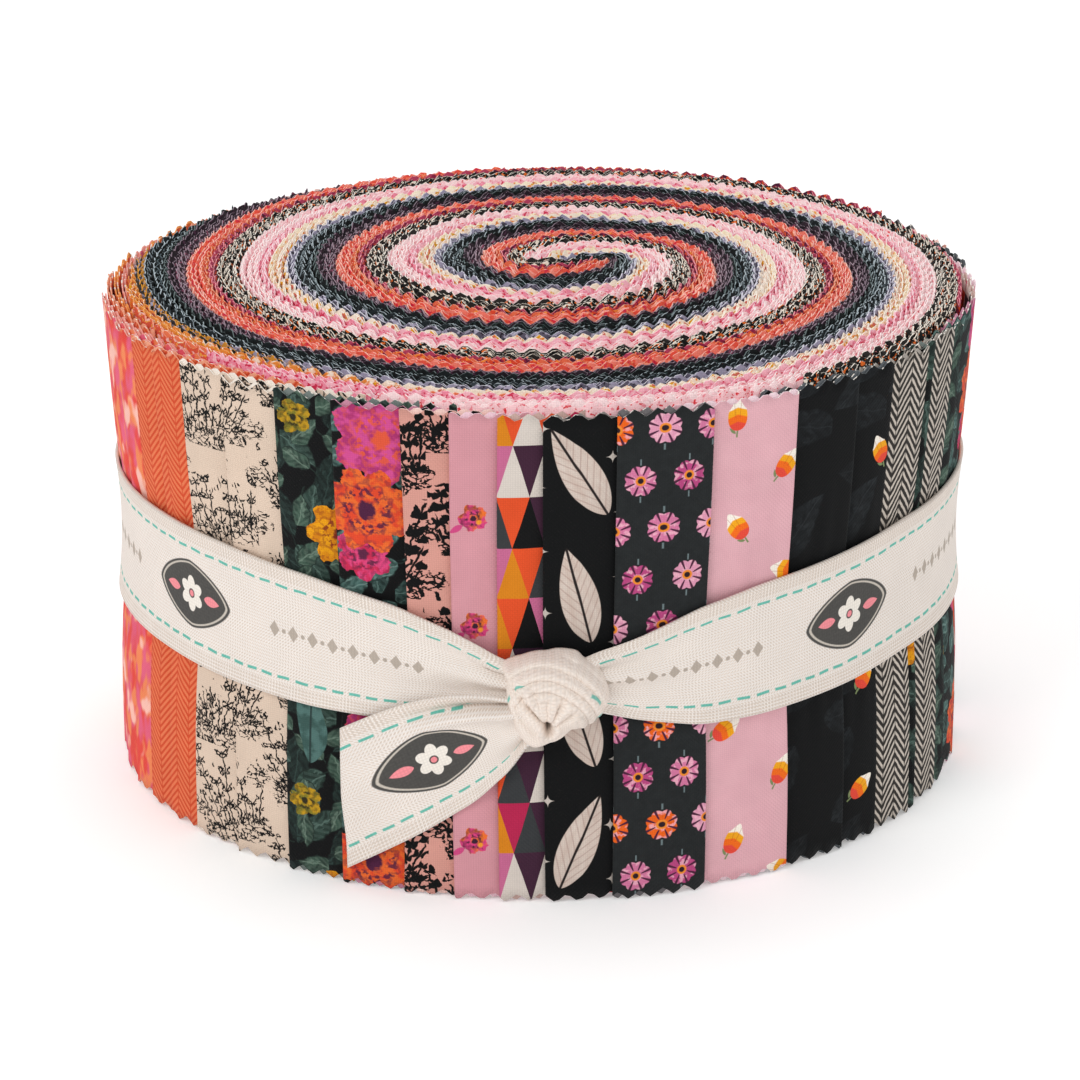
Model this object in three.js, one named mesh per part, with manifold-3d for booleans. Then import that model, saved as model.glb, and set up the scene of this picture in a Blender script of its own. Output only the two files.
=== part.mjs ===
// A roll of forty quilting-cotton strips, each folded in half along its length, stacked, wound
// into one spiral and tied round the middle with a cotton ribbon.
// Millimetres, +Z up. The roll stands on its end: its axis is +Z and its base is the plane z = 0.
import * as THREE from 'three';
import { mergeVertices } from 'three/addons/utils/BufferGeometryUtils.js';
import Module from 'manifold-3d';

// The wound strips
const STRIP_WIDTH = 63.5; // a strip is two and a half inches wide, and stands on its edge
const ROLL_RADIUS = 55.3; // at the base, over the outer ends of the strips
// The roll's side from base to top: the ribbon draws it in to a waist, and it flares above.
const SIDE_PROFILE = [
  { z: 0, out: 0 },
  { z: 15, out: -0.1 },
  { z: 23.3, out: -0.9 },
  { z: 32.1, out: -1.3 },
  { z: 40.9, out: -0.9 },
  { z: 49, out: 0 },
  { z: STRIP_WIDTH, out: 0.8 },
];
const BULGE = 1.3; // the roll is out of round: fuller at its back right, flatter at its back left
const FLAT_QUARTERS = 0.25; // and a little flat between its four quarters
const STACK = 19; // the thickness of the stack of folded strips, and so the pitch of the spiral
const TURN_GAP = 0.5; // the parting between one turn of the stack and the next
const EYE = { x: 4.5, y: 4 }; // the spiral's eye lies off the roll's middle
const RIM_EYE = { x: 0.8, y: 2.8 }; // and so, less, does the middle of its outermost turn
const OVAL = 0.013; // the turns are longer from front to back than from side to side
const PARTING_START = -60.6; // degrees from +X, anticlockwise seen from above, at the eye
const FIRST_TURN = 0.35; // turns from the eye at which the parting begins
const LAST_TURN = 2.7; // and ends, inside the outer ends

// The outer ends of the strips, from the roll's left round its front and right to its back.
// shows: how much of the end is seen, round the roll. over: the sides on which it laps its neighbour.
const FIRST_END_AZIMUTH = -76.6; // degrees from the front, positive to the right
const LAP = 0.5; // how far an end that laps its neighbour stands out from it
const LAP_SLOPE = 0.12; // the share of an end's width in which its covered side sinks
const FRONT_ENDS = [
  { shows: 6.0, over: 'left' },
  { shows: 6.2, over: 'left' },
  { shows: 5.8, over: 'left' },
  { shows: 6.3, over: 'left' },
  { shows: 8.0, over: 'left' },
  { shows: 8.5, over: 'left' },
  { shows: 8.0, over: 'left' },
  { shows: 8.5, over: 'left' },
  { shows: 6.2, over: 'left' },
  { shows: 5.6, over: 'left' },
  { shows: 5.4, over: 'left' },
  { shows: 8.4, over: 'left' },
  { shows: 11.7, over: 'both' },
  { shows: 11.7, over: 'right' },
  { shows: 9.7, over: 'right' },
  { shows: 6.7, over: 'right' },
  { shows: 8.3, over: 'right' },
  { shows: 1.8, over: 'right' },
  { shows: 6.8, over: 'right' },
  { shows: 4.0, over: 'right' },
  { shows: 8.0, over: 'right' },
];
const BACK_END_COUNT = 23; // the first of them is lapped on both sides, the rest lap to the left

// The ribbon
const RIBBON_WIDTH = 17.5;
const RIBBON_THICKNESS = 1.0;
const RIBBON_GAP = 0.3; // clear of the roll
const RIBBON_MIDDLE = 32.1; // height of its middle line round the roll
const KNOT = { azimuth: 2.2, height: 29.4, width: 12.6, depth: 9, tall: 11.6 };
const KNOT_SUNK = 1.2; // how far the knot's middle lies in front of the ribbon's outer face
const PULLED_WIDTH = 6.5; // the ribbon's width where it enters the knot
const GATHER_REACH = 30; // degrees from the knot over which the ribbon widens again
const TAIL_THICKNESS = 1.0;
const TAIL_CLEARANCE = 0.4; // clear of the ends under it
const TAIL_LIFT = 2.2; // how much further out the tail is where it leaves the knot
// The tail's edges on the roll's side: along is measured from the knot to the left, low and high
// are heights.
const TAIL_EDGES = [
  { along: -1.0, low: 24.5, high: 29.5 },
  { along: 3.8, low: 22.0, high: 28.6 },
  { along: 6.0, low: 17.8, high: 28.5 },
  { along: 9.5, low: 14.2, high: 28.3 },
  { along: 16.0, low: 9.4, high: 27.2 },
  { along: 20.5, low: 6.4, high: 25.4 },
  { along: 25.8, low: 3.1, high: 22.2 },
];

const ends = [...FRONT_ENDS];
const circumference = 2 * Math.PI * ROLL_RADIUS;
const backShows = (circumference - FRONT_ENDS.reduce((sum, end) => sum + end.shows, 0)) / BACK_END_COUNT;
for (let i = 0; i < BACK_END_COUNT; i += 1) {
  ends.push({ shows: backShows, over: i === 0 ? 'neither' : 'left' });
}

// How far the roll's side is from its axis, before laps. azimuth is in radians from the front.
function outOfRound(azimuth) {
  const angle = azimuth - Math.PI / 2; // from +X, anticlockwise seen from above
  return BULGE * (0.5 + 0.5 * Math.sin(angle)) * Math.sin(2 * angle)
    - FLAT_QUARTERS * (1 - Math.cos(4 * angle));
}

// The value of column name at place, in rows that go up in steps of column by.
function between(rows, by, place, name) {
  const next = Math.max(1, rows.findIndex((row) => row[by] >= place - 1e-6));
  const [from, to] = [rows[next - 1], rows[next]];
  const share = THREE.MathUtils.clamp((place - from[by]) / (to[by] - from[by]), 0, 1);
  return THREE.MathUtils.lerp(from[name], to[name], share);
}

function sideShift(z) {
  return between(SIDE_PROFILE, 'z', z, 'out');
}

function onSide(azimuth, radius) {
  return new THREE.Vector2(radius * Math.sin(azimuth), -radius * Math.cos(azimuth));
}

// The roll's outline seen from above: each end stands out on the sides where it laps its neighbour.
function rollOutline() {
  const points = [];
  let along = THREE.MathUtils.degToRad(FIRST_END_AZIMUTH) * ROLL_RADIUS;
  for (const { shows, over } of ends) {
    const lapsLeft = over === 'left' || over === 'both';
    const lapsRight = over === 'right' || over === 'both';
    const stations = [
      { at: 0.02, out: lapsLeft ? LAP : 0 },
      { at: LAP_SLOPE, out: lapsLeft ? LAP : LAP / 2 },
      { at: 1 - LAP_SLOPE, out: lapsRight ? LAP : LAP / 2 },
      { at: 0.98, out: lapsRight ? LAP : 0 },
    ];
    for (const { at, out } of stations) {
      const azimuth = (along + at * shows) / ROLL_RADIUS;
      points.push(onSide(azimuth, ROLL_RADIUS + outOfRound(azimuth) + out));
    }
    along += shows;
  }
  return points;
}

// The parting between turns: a narrow spiral slot, widening outwards clockwise seen from above.
function partingOutline() {
  const sides = { inner: [], outer: [] };
  const steps = Math.round((LAST_TURN - FIRST_TURN) * 30);
  for (let i = 0; i <= steps; i += 1) {
    const turns = THREE.MathUtils.lerp(FIRST_TURN, LAST_TURN, i / steps);
    const angle = THREE.MathUtils.degToRad(PARTING_START) - 2 * Math.PI * turns;
    const half = (i === 0 || i === steps) ? TURN_GAP / 8 : TURN_GAP / 2;
    for (const [name, shift] of [['inner', -half], ['outer', half]]) {
      const distance = STACK * turns + shift;
      const radius = distance / (1 + OVAL * Math.cos(2 * angle));
      sides[name].push(new THREE.Vector2(
        THREE.MathUtils.lerp(EYE.x, RIM_EYE.x, distance / ROLL_RADIUS) + radius * Math.cos(angle),
        THREE.MathUtils.lerp(EYE.y, RIM_EYE.y, distance / ROLL_RADIUS) + radius * Math.sin(angle),
      ));
    }
  }
  return [...sides.inner, ...sides.outer.reverse()];
}

function eachVertex(geometry, move) {
  const position = geometry.attributes.position;
  const vertex = new THREE.Vector3();
  for (let i = 0; i < position.count; i += 1) {
    vertex.fromBufferAttribute(position, i);
    move(vertex);
    position.setXYZ(i, vertex.x, vertex.y, vertex.z);
  }
  return geometry;
}

function stripRoll() {
  const shape = new THREE.Shape(rollOutline());
  shape.holes.push(new THREE.Path(partingOutline()));
  const levels = SIDE_PROFILE.length - 1;
  const geometry = new THREE.ExtrudeGeometry(shape, {
    depth: levels, steps: levels, bevelEnabled: false,
  });
  return eachVertex(geometry, (vertex) => {
    const { z, out } = SIDE_PROFILE[Math.round(vertex.z)];
    const radius = Math.hypot(vertex.x, vertex.y);
    const scale = 1 + (out / ROLL_RADIUS) * (radius / ROLL_RADIUS) ** 4;
    vertex.set(vertex.x * scale, vertex.y * scale, z);
  });
}

// How wide the ribbon is and where its middle runs, so many degrees from the knot.
function ribbonAt(azimuth) {
  const fromKnot = Math.abs(THREE.MathUtils.radToDeg(azimuth) - KNOT.azimuth);
  const open = Math.sin((Math.PI / 2) * Math.min(1, fromKnot / GATHER_REACH));
  return {
    half: THREE.MathUtils.lerp(PULLED_WIDTH, RIBBON_WIDTH, open) / 2,
    middle: THREE.MathUtils.lerp(KNOT.height, RIBBON_MIDDLE, open),
  };
}

function ribbonInside(azimuth, z) {
  return ROLL_RADIUS + outOfRound(azimuth) + LAP + sideShift(z) + RIBBON_GAP;
}

// A unit-high ring, stretched to the ribbon's width and laid against the roll.
function ribbonBand() {
  const azimuths = Array.from({ length: 96 }, (_, i) => Math.PI * (i / 48 - 1));
  const shape = new THREE.Shape(azimuths.map((a) => onSide(a, ROLL_RADIUS + RIBBON_THICKNESS)));
  shape.holes.push(new THREE.Path(azimuths.map((a) => onSide(a, ROLL_RADIUS)).reverse()));
  const geometry = new THREE.ExtrudeGeometry(shape, { depth: 1, steps: 3, bevelEnabled: false });
  return eachVertex(geometry, (vertex) => {
    const azimuth = Math.atan2(vertex.x, -vertex.y);
    const { half, middle } = ribbonAt(azimuth);
    const z = middle + half * (2 * vertex.z - 1);
    const outward = Math.hypot(vertex.x, vertex.y) - ROLL_RADIUS;
    const side = onSide(azimuth, ribbonInside(azimuth, z) + outward);
    vertex.set(side.x, side.y, z);
  });
}

// The knot: the ribbon's ends crossed, tucked and drawn tight, fuller at its top left.
function knot() {
  const azimuth = THREE.MathUtils.degToRad(KNOT.azimuth);
  const centre = onSide(azimuth, ribbonInside(azimuth, KNOT.height) + RIBBON_THICKNESS + KNOT_SUNK);
  const geometry = new THREE.SphereGeometry(0.5, 24, 16);
  return eachVertex(geometry, (vertex) => {
    const crossing = 1 + 0.18 * (vertex.x + vertex.y) - 0.25 * vertex.x * vertex.y;
    vertex.set(
      centre.x + vertex.x * KNOT.width * crossing,
      centre.y - vertex.z * KNOT.depth,
      KNOT.height + vertex.y * KNOT.tall * crossing,
    );
  });
}

// The free end: it leaves the knot at the lower left and lies down on the roll.
function tail() {
  const start = TAIL_EDGES[0].along;
  const length = TAIL_EDGES[TAIL_EDGES.length - 1].along - start;
  const knotAzimuth = THREE.MathUtils.degToRad(KNOT.azimuth);
  const sheet = new THREE.BoxGeometry(1, 1, TAIL_THICKNESS, 18, 4, 1);
  return eachVertex(sheet, (vertex) => {
    const share = 0.5 - vertex.x; // from 0 at the knot to 1 at the cut end
    const along = start + length * share;
    const low = between(TAIL_EDGES, 'along', along, 'low');
    const high = between(TAIL_EDGES, 'along', along, 'high');
    const z = THREE.MathUtils.lerp(low, high, vertex.y + 0.5);
    const azimuth = knotAzimuth - along / ROLL_RADIUS;
    const bed = ROLL_RADIUS + outOfRound(azimuth) + LAP + TAIL_CLEARANCE + TAIL_THICKNESS / 2;
    const side = onSide(azimuth, bed + TAIL_LIFT * (1 - share) ** 2 + vertex.z);
    vertex.set(side.x, side.y, z);
  });
}

// What the knot's back is cut off by: the middle of the ribbon's thickness all round the roll.
function knotBed() {
  const azimuths = Array.from({ length: 60 }, (_, i) => Math.PI * (i / 30 - 1));
  const shape = new THREE.Shape(azimuths.map((a) => onSide(a, ROLL_RADIUS)));
  const geometry = new THREE.ExtrudeGeometry(shape, {
    depth: STRIP_WIDTH, steps: 8, bevelEnabled: false,
  });
  return eachVertex(geometry, (vertex) => {
    const azimuth = Math.atan2(vertex.x, -vertex.y);
    const side = onSide(azimuth, ribbonInside(azimuth, vertex.z) + RIBBON_THICKNESS / 2);
    vertex.set(side.x, side.y, vertex.z);
  });
}

const wasm = await Module();
wasm.setup();

function toManifold(geometry) {
  geometry.deleteAttribute('normal');
  geometry.deleteAttribute('uv');
  const merged = mergeVertices(geometry, 1e-4);
  return new wasm.Manifold(new wasm.Mesh({
    numProp: 3,
    vertProperties: new Float32Array(merged.attributes.position.array),
    triVerts: new Uint32Array(merged.index.array),
  }));
}

function toGeometry(manifold) {
  const mesh = manifold.getMesh();
  const geometry = new THREE.BufferGeometry();
  geometry.setAttribute('position', new THREE.BufferAttribute(mesh.vertProperties, mesh.numProp));
  geometry.setIndex(new THREE.BufferAttribute(mesh.triVerts, 1));
  geometry.computeVertexNormals();
  return geometry;
}

function ribbon() {
  const cutKnot = toManifold(knot()).subtract(toManifold(knotBed()));
  return toGeometry(toManifold(ribbonBand()).add(cutKnot).add(toManifold(tail())));
}

function part(name, geometry, color, roughness) {
  const mesh = new THREE.Mesh(geometry, new THREE.MeshStandardMaterial({
    color, roughness, metalness: 0,
  }));
  mesh.name = name;
  return mesh;
}

const group = new THREE.Group();
group.add(part('strip_roll', stripRoll(), '#dba0a8', 0.9));
group.add(part('ribbon', ribbon(), '#efe8dd', 0.85));

export default group;
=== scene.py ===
# A roll of forty quilting-cotton strips, each folded in half, stacked, wound into one spiral and tied
# round the middle with a printed cotton tape. Sizes are in millimetres, and meshes are made in metres.
import math
import random
from functools import partialmethod

import bmesh
import bpy
import numpy as np
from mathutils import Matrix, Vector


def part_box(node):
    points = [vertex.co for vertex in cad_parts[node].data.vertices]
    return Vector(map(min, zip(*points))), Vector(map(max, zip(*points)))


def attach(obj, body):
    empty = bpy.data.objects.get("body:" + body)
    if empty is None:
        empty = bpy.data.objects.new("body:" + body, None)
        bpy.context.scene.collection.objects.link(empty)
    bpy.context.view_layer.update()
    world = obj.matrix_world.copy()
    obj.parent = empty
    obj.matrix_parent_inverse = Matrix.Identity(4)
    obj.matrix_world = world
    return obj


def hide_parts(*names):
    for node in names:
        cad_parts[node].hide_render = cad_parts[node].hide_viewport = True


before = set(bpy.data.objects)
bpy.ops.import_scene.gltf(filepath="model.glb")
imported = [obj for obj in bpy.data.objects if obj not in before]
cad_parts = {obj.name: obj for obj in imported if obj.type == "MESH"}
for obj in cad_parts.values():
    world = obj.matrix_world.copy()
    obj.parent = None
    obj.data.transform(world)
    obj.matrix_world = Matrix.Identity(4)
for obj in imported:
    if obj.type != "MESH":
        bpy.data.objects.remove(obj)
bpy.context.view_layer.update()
MM = 0.001

# The camera stands before the roll and a little above it, and looks down on its top and front.
camera_data = bpy.data.cameras.new("camera")
camera_data.lens = 132.7
camera_data.sensor_width = 36
camera = bpy.data.objects.new("camera", camera_data)
camera.location = (0, -0.5, 0.209)
camera.rotation_euler = (math.radians(70), 0, 0)
bpy.context.scene.collection.objects.link(camera)
bpy.context.scene.camera = camera
bpy.context.scene.view_settings.view_transform = "Standard"

# The studio: a white table, soft white light all round, and a broad lamp on each side and above.
FLOOR_SIDE = 6
FLOOR_GLOW = 0.25  # the table is lit a little from below
floor_grid = bmesh.new()
bmesh.ops.create_grid(floor_grid, x_segments=1, y_segments=1, size=FLOOR_SIDE / 2)
floor_mesh = bpy.data.meshes.new("floor")
floor_grid.to_mesh(floor_mesh)
floor_grid.free()
floor = bpy.data.objects.new("floor", floor_mesh)
bpy.context.scene.collection.objects.link(floor)
table_white = bpy.data.materials.new("table_white")
table_white.use_nodes = True
table_shader = table_white.node_tree.nodes["Principled BSDF"]
table_shader.inputs["Base Color"].default_value = (0.9, 0.9, 0.9, 1)
table_shader.inputs["Roughness"].default_value = 0.9
table_shader.inputs["Emission Color"].default_value = (1, 1, 1, 1)
table_shader.inputs["Emission Strength"].default_value = FLOOR_GLOW
floor_mesh.materials.append(table_white)

studio = bpy.data.worlds.new("studio")
studio.use_nodes = True
studio.node_tree.nodes["Background"].inputs["Color"].default_value = (1, 1, 1, 1)
studio.node_tree.nodes["Background"].inputs["Strength"].default_value = 0.62
bpy.context.scene.world = studio


def lamp(name, place, size, watts):
    light = bpy.data.lights.new(name, "AREA")
    light.shape = "SQUARE"
    light.size = size
    light.energy = watts
    holder = bpy.data.objects.new(name, light)
    holder.location = place
    to_roll = Vector((0, 0, 0.04)) - holder.location
    holder.rotation_euler = to_roll.to_track_quat("-Z", "Y").to_euler()
    bpy.context.scene.collection.objects.link(holder)


lamp("key_lamp", (-0.7, -0.9, 0.9), 0.6, 5.6)
lamp("fill_lamp", (0.9, -0.7, 0.6), 0.8, 1.5)
lamp("top_lamp", (0, 0.5, 1.2), 0.8, 4.5)

# The forty strips. Each is quilting cotton two and a half inches wide, pinked along both edges,
# folded in half with its print outwards, and wound with the others from the folded stack's free ends
# out to its fold. Seen from above they run clockwise outwards, and the tie leaves them a little domed.
STRIP_COUNT = 40
strip_low, strip_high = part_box("strip_roll")
STRIP_WIDTH = (strip_high.z - strip_low.z) / MM
CLOTH = 0.14  # thickness
STACK = 19.0  # forty folded strips, and so the pitch of the spiral
PLY = STACK / STRIP_COUNT / 2
STACK_START = -7.95  # the stack's distance from the eye, where the clockwise angle from the back is 0
FIRST_TURN, LAST_TURN, SPIRAL_PLACES = -1, 4, 5000  # more turns than any strip has
EYE = (4.5, 4.0)  # the spiral's eye, right of the roll's middle and behind it
RIM_EYE = (0.8, 2.8)  # the middle of the outermost turn
OVAL, SLANTING_OVAL = 0.013, 0.006  # the turns are longer from front to back than from side to side
WOBBLE = [(0.16, 5, 0.13), (0.1, 9, -0.2)]  # depth, waves a turn, their shift from turn to turn
WOBBLE_WHOLE = 10  # the distance from which the turns wobble fully
TIGHT = ([36, 50], [0, 0.8])  # distances, and how much tighter the turns lie there
EYE_LONG, EYE_FLAT, EYE_REACH = 4.2, 0.8, 6.0  # the first turn is wound round a flat core
FIRST_DISTANCE = 1.0
ROLL_RADIUS = 55.3
BULGE, FLAT_QUARTERS = 1.3, 0.25
FLARE, WAIST = 0.8, -1.3
ENDS_LAYER = 1.15  # what the outer ends take of the radius
LEFT_LAYER = 1.6  # and what they take besides at the left, where they run on under one another
LEFT_FROM_TO = ([-125, -85, -30, -8], [0, 1, 1, 0])  # degrees from the front, share of LEFT_LAYER
CROWN, CROWN_RIM = 1.6, 0.6  # how much higher than the outer ends the strips stand, eye and rim
TOOTH, TOOTH_DEPTH = 2.75, 1.15  # the pinking shears' bite
SOFTENED_DEPTH = 0.85  # what is left of it where the wound cloth frays and leans
COLUMNS_A_TOOTH = 4
LEAN = 0.24  # how far one strip's tips lean in and its hollows out, and its neighbour's the other way
PRESSED = 0.045  # how much nearer a strip's two plies lie to its middle at the top
OFF_BEAT, OFF_LEVEL = 0.1225, 0.3  # how far strips are shifted, in teeth along and upwards
BEAT_SWAY = (0, 0.1, 17)  # the first of its two waves, how far it sways, and the wave's length
SIDE_SWAY = (2, 0.035, 7)
HEIGHT_SWAY = (4, 0.11, 13)
OPENED = ([-32, -12, 0, 15, 30, 55, 80], [0, 1.4, 1.6, 1.8, 1.6, 0.8, 0])  # the outer turn lies looser
OPENED_FROM, OPENED_REACH = 41, 11  # distances


def out_of_round(azimuth):
    """How far the roll's side is out of round. azimuth is in radians from the front to the right."""
    angle = azimuth - math.pi / 2
    bulge = BULGE * (0.5 + 0.5 * np.sin(angle)) * np.sin(2 * angle)
    return bulge - FLAT_QUARTERS * (1 - np.cos(4 * angle))


def eased(share):
    """From 0 to 1 with a soft start and a soft end."""
    share = np.clip(share, 0, 1)
    return share ** 2 * (3 - 2 * share)


def lay_cloth(name, along, across, lie, materials, thickness=CLOTH, print_starts=(0, 0)):
    """A sheet of cloth. along is its flat columns; across(column) gives the heights of a column's rows;
    lie puts flat points where they are on the roll. The flat places become its UV map."""
    columns = np.array(along)
    heights = across(columns)
    rows = heights.shape[1]
    grid = bmesh.new()
    bmesh.ops.create_grid(grid, x_segments=len(columns) - 1, y_segments=rows - 1, size=1)
    mesh = bpy.data.meshes.new(name)
    grid.to_mesh(mesh)
    grid.free()
    corner = np.zeros(len(mesh.vertices) * 3)
    mesh.vertices.foreach_get("co", corner)
    corner = corner.reshape(-1, 3)
    column = np.rint((corner[:, 0] + 1) / 2 * (len(columns) - 1)).astype(int)
    row = np.rint((corner[:, 1] + 1) / 2 * (rows - 1)).astype(int)
    flat = np.stack([columns[column], heights[column, row]], axis=1)
    mesh.vertices.foreach_set("co", (lie(flat[:, 0], flat[:, 1]) * MM).ravel())
    which = np.zeros(len(mesh.loops), int)
    mesh.loops.foreach_get("vertex_index", which)
    mesh.uv_layers.new(name="flat").data.foreach_set("uv", (flat - print_starts)[which].ravel())
    for material in materials:
        mesh.materials.append(material)
    mesh.polygons.foreach_set("use_smooth", [True] * len(mesh.polygons))
    mesh.update()
    piece = bpy.data.objects.new(name, mesh)
    bpy.context.scene.collection.objects.link(piece)
    solid = piece.modifiers.new("thickness", "SOLIDIFY")
    solid.thickness = thickness * MM
    solid.offset = 0
    solid.material_offset = 1
    solid.material_offset_rim = 2
    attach(piece, "root")
    return piece


def eye_to(distance, near, far):
    return near + (far - near) * distance / ROLL_RADIUS


def wound(distance, turned):
    """Where the spiral is in plan, at a distance from its eye and a clockwise angle from the back."""
    angle = math.pi / 2 - turned
    oval = 1 + OVAL * np.cos(2 * angle) - SLANTING_OVAL * np.sin(2 * angle)
    wobble = sum(deep * np.sin(waves * turned + shift * distance) for deep, waves, shift in WOBBLE)
    radius = (distance - np.interp(distance, *TIGHT)) / oval
    radius = radius + wobble * np.minimum(1, distance / WOBBLE_WHOLE)
    azimuth = -np.degrees(turned) % 360 - 180
    radius = radius + np.interp(azimuth, *OPENED) * eased((distance - OPENED_FROM) / OPENED_REACH)
    core = np.exp(-distance / EYE_REACH)
    x = eye_to(distance, EYE[0], RIM_EYE[0]) + (radius + EYE_LONG * core) * np.cos(angle)
    y = eye_to(distance, EYE[1], RIM_EYE[1]) + (radius - EYE_FLAT * core) * np.sin(angle)
    return x, y


def ends_layer(azimuth):
    return ENDS_LAYER + LEFT_LAYER * np.interp(np.degrees(azimuth), *LEFT_FROM_TO)


def strip_run(number):
    """The strip's way from its free ends to its fold: clockwise angles, distances and lengths run."""
    turned = np.linspace(2 * math.pi * FIRST_TURN, 2 * math.pi * LAST_TURN, SPIRAL_PLACES)
    distance = STACK * (turned / (2 * math.pi) + (number - 0.5) / STRIP_COUNT) + STACK_START
    keep = distance > FIRST_DISTANCE
    turned, distance = turned[keep], distance[keep]
    x, y = wound(distance, turned)
    azimuth = np.arctan2(x, -y)
    limit = ROLL_RADIUS + out_of_round(azimuth) - ends_layer(azimuth)
    last = np.argmax(np.hypot(x, y) > limit)
    turned, distance, x, y = turned[:last], distance[:last], x[:last], y[:last]
    steps = np.hypot(np.diff(x), np.diff(y))
    return turned, distance, np.concatenate([[0], np.cumsum(steps)])


def wind_strip(number, materials, rng):
    turned, distance, run = strip_run(number)
    half = run[-1]  # the folded strip's length, so the flat one is twice as long
    length = 2 * half
    bend = PLY / 2 * math.pi / 2
    ply_run = np.linspace(0, half - bend, round(half / TOOTH * COLUMNS_A_TOOTH))
    fold_places = half + bend * np.array([-0.4, 0.4])
    along = np.concatenate([ply_run, fold_places, length - ply_run[::-1]])
    # The stack was pinked in one cut, and its teeth still about meet at the front of the second turn.
    at_front = np.interp(3 * math.pi, turned, run)
    sway = [rng.uniform(0, 2 * math.pi) for wave in range(6)]
    lies_high = rng.uniform(-OFF_LEVEL, OFF_LEVEL)
    off_beat = rng.uniform(-OFF_BEAT, OFF_BEAT)

    def swayed(spot, side, kind):
        """A slow wander along the strip, a little different for its two plies."""
        first, how_far, longest = kind
        slow = np.sin(spot / longest + sway[first] + 2.1 * side)
        return how_far * (slow + 0.6 * np.sin(spot / longest * 2.7 + sway[first + 1] - 1.3 * side))

    def beat(places):
        """How many teeth along the strip a place is. At a whole number it is at a tooth's tip."""
        side = np.sign(places - half)
        spot = half - np.abs(places - half)
        reach = 1 + side * PLY / 2 / np.maximum(np.interp(spot, run, distance), 2)
        return (spot - at_front) / TOOTH * reach + off_beat + swayed(spot, side, BEAT_SWAY)

    def across(columns):
        depth = SOFTENED_DEPTH * (0.5 - 0.5 * np.cos(2 * math.pi * beat(columns)))
        return np.stack([depth, np.full(len(columns), STRIP_WIDTH / 2), STRIP_WIDTH - depth], axis=1)

    def lie(flat_along, flat_across):
        from_fold = flat_along - half
        side = np.clip(from_fold / bend, -1, 1)  # -1 on the inner ply, 1 on the outer
        back = np.maximum(np.abs(from_fold) - bend, 0)
        spot = (half - bend - back) * half / (half - bend)
        at = np.interp(spot, run, turned)
        far = np.interp(spot, run, distance)
        share = flat_across / STRIP_WIDTH
        top = np.maximum(0, share - 0.5) * 2
        far = far + np.sin(side * math.pi / 2) * (PLY / 2 - PRESSED * top)
        at = at + np.cos(side * math.pi / 2) * PLY / 2 / np.maximum(far, 1)
        teeth = (spot - at_front) / TOOTH + off_beat
        lean = LEAN * np.cos(2 * math.pi * teeth) * (-1) ** number
        x, y = wound(far + (swayed(spot, side, SIDE_SWAY) + lean) * top, at)
        near_rim = (far / ROLL_RADIUS) ** 4
        drawn = np.interp(share, [0, 0.5, 1], [0, WAIST, FLARE]) * near_rim
        grow = 1 + drawn / np.maximum(np.hypot(x, y), 1)
        lift = eye_to(far, CROWN, CROWN_RIM) + lies_high + swayed(spot, side, HEIGHT_SWAY)
        return np.stack([x * grow, y * grow, flat_across + lift * share], axis=1)

    strip = lay_cloth(f"strip_{number:02d}", along, across, lie, materials, print_starts=(half, 0))
    return strip


def dye_colour(code):
    parts = [int(code[i:i + 2], 16) / 255 for i in (1, 3, 5)]
    return (*[((part + 0.055) / 1.055) ** 2.4 for part in parts], 1)


def fed(node, *values):
    """The node, with its first inputs given amounts, outputs of other nodes, colour codes or numbers."""
    for socket, value in zip(node.inputs, values):
        if isinstance(value, Amount):
            value = value.output
        if isinstance(value, bpy.types.NodeSocket):
            value.id_data.links.new(value, socket)
        else:
            socket.default_value = dye_colour(value) if isinstance(value, str) else value
    return node


class Amount:
    """A number that changes from place to place on a cloth: the output of one of its material's nodes."""

    def __init__(self, tree, output):
        self.tree = tree
        self.output = output

    def reckon(self, operation, *others):
        node = self.tree.nodes.new("ShaderNodeMath")
        node.operation = operation
        return Amount(self.tree, fed(node, self, *others).outputs["Value"])

    __add__ = partialmethod(reckon, "ADD")
    __sub__ = partialmethod(reckon, "SUBTRACT")
    __mul__ = partialmethod(reckon, "MULTIPLY")
    __truediv__ = partialmethod(reckon, "DIVIDE")
    size = partialmethod(reckon, "ABSOLUTE")
    whole = partialmethod(reckon, "FLOOR")
    part = partialmethod(reckon, "FRACT")
    zigzag = partialmethod(reckon, "PINGPONG")
    power = partialmethod(reckon, "POWER")
    root = partialmethod(reckon, "SQRT")
    sine = partialmethod(reckon, "SINE")
    cosine = partialmethod(reckon, "COSINE")
    least = partialmethod(reckon, "MINIMUM")
    most = partialmethod(reckon, "MAXIMUM")

    def __rsub__(self, other):
        return self * -1 + other

    def within(self, pitch):
        """How far it is from the middle of the cell that it is in, in cells of that pitch."""
        return (self / pitch).part() * pitch - pitch / 2

    def filled(self, soft, share=1):
        """That share where the amount is above 0, and 0 where it is below, with so soft an edge."""
        node = self.tree.nodes.new("ShaderNodeMapRange")
        node.interpolation_type = "SMOOTHSTEP"
        return Amount(self.tree, fed(node, self, -soft, soft, 0, share).outputs["Result"])


def at_place(along, across, depth):
    """A place on the cloth as one vector output."""
    node = along.tree.nodes.new("ShaderNodeCombineXYZ")
    return fed(node, along, across, depth).outputs["Vector"]


def clouds(along, across, size, seed, detail=2.0):
    """Soft clouds of about that size, from 0 to 1."""
    node = along.tree.nodes.new("ShaderNodeTexNoise")
    node.inputs["Scale"].default_value = 1
    node.inputs["Detail"].default_value = detail
    place = at_place(along / size, across / size, seed)
    return Amount(along.tree, fed(node, place).outputs["Fac"])


def patches(along, across, size, seed, above=0.5, soft=0.05, detail=2.0):
    """1 in the patches where the clouds are thicker than that, and 0 between them."""
    return (clouds(along, across, size, seed, detail) - above).filled(soft)


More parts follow.
